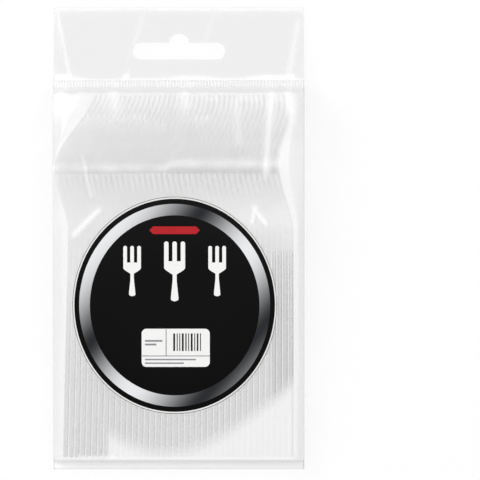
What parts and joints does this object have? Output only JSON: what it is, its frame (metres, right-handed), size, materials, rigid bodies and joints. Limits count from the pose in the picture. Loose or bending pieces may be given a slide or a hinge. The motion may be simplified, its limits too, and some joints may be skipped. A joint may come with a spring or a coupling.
{
  "type": "plastic cutlery pack",
  "caption": "Clear film header bag with a hanging slot and a weld band, holding a nested stack of clear plastic forks seen edge-on, with an oval printed label on its front.",
  "frame": {"origin": "on the surface under the pack, below the middle of its box", "axes": "the pack lies on its back: +X to the right of its face, +Y towards the hanging header, +Z out of its face"},
  "size_m": [0.1246, 0.2294, 0.0298],
  "materials": {
    "clear_film": "gloss",
    "clear_polystyrene": "gloss",
    "printed_label": "satin"
  },
  "bodies": {
    "root": {"film_bag": "clear_film", "fork_01": "clear_polystyrene", "fork_02": "clear_polystyrene", "fork_03": "clear_polystyrene", "fork_04": "clear_polystyrene", "fork_05": "clear_polystyrene", "fork_06": "clear_polystyrene", "fork_07": "clear_polystyrene", "fork_08": "clear_polystyrene", "fork_09": "clear_polystyrene", "fork_10": "clear_polystyrene", "fork_11": "clear_polystyrene", "fork_12": "clear_polystyrene", "fork_13": "clear_polystyrene", "fork_14": "clear_polystyrene", "fork_15": "clear_polystyrene", "fork_16": "clear_polystyrene", "fork_17": "clear_polystyrene", "fork_18": "clear_polystyrene", "fork_19": "clear_polystyrene", "fork_20": "clear_polystyrene", "fork_21": "clear_polystyrene", "fork_22": "clear_polystyrene", "fork_23": "clear_polystyrene", "fork_24": "clear_polystyrene", "fork_25": "clear_polystyrene", "fork_26": "clear_polystyrene", "fork_27": "clear_polystyrene", "fork_28": "clear_polystyrene", "fork_29": "clear_polystyrene", "fork_30": "clear_polystyrene", "fork_31": "clear_polystyrene", "fork_32": "clear_polystyrene", "fork_33": "clear_polystyrene", "fork_34": "clear_polystyrene", "fork_35": "clear_polystyrene", "fork_36": "clear_polystyrene", "fork_37": "clear_polystyrene", "fork_38": "clear_polystyrene", "fork_39": "clear_polystyrene", "fork_40": "clear_polystyrene", "front_label": "printed_label"}
  },
  "joints": []
}
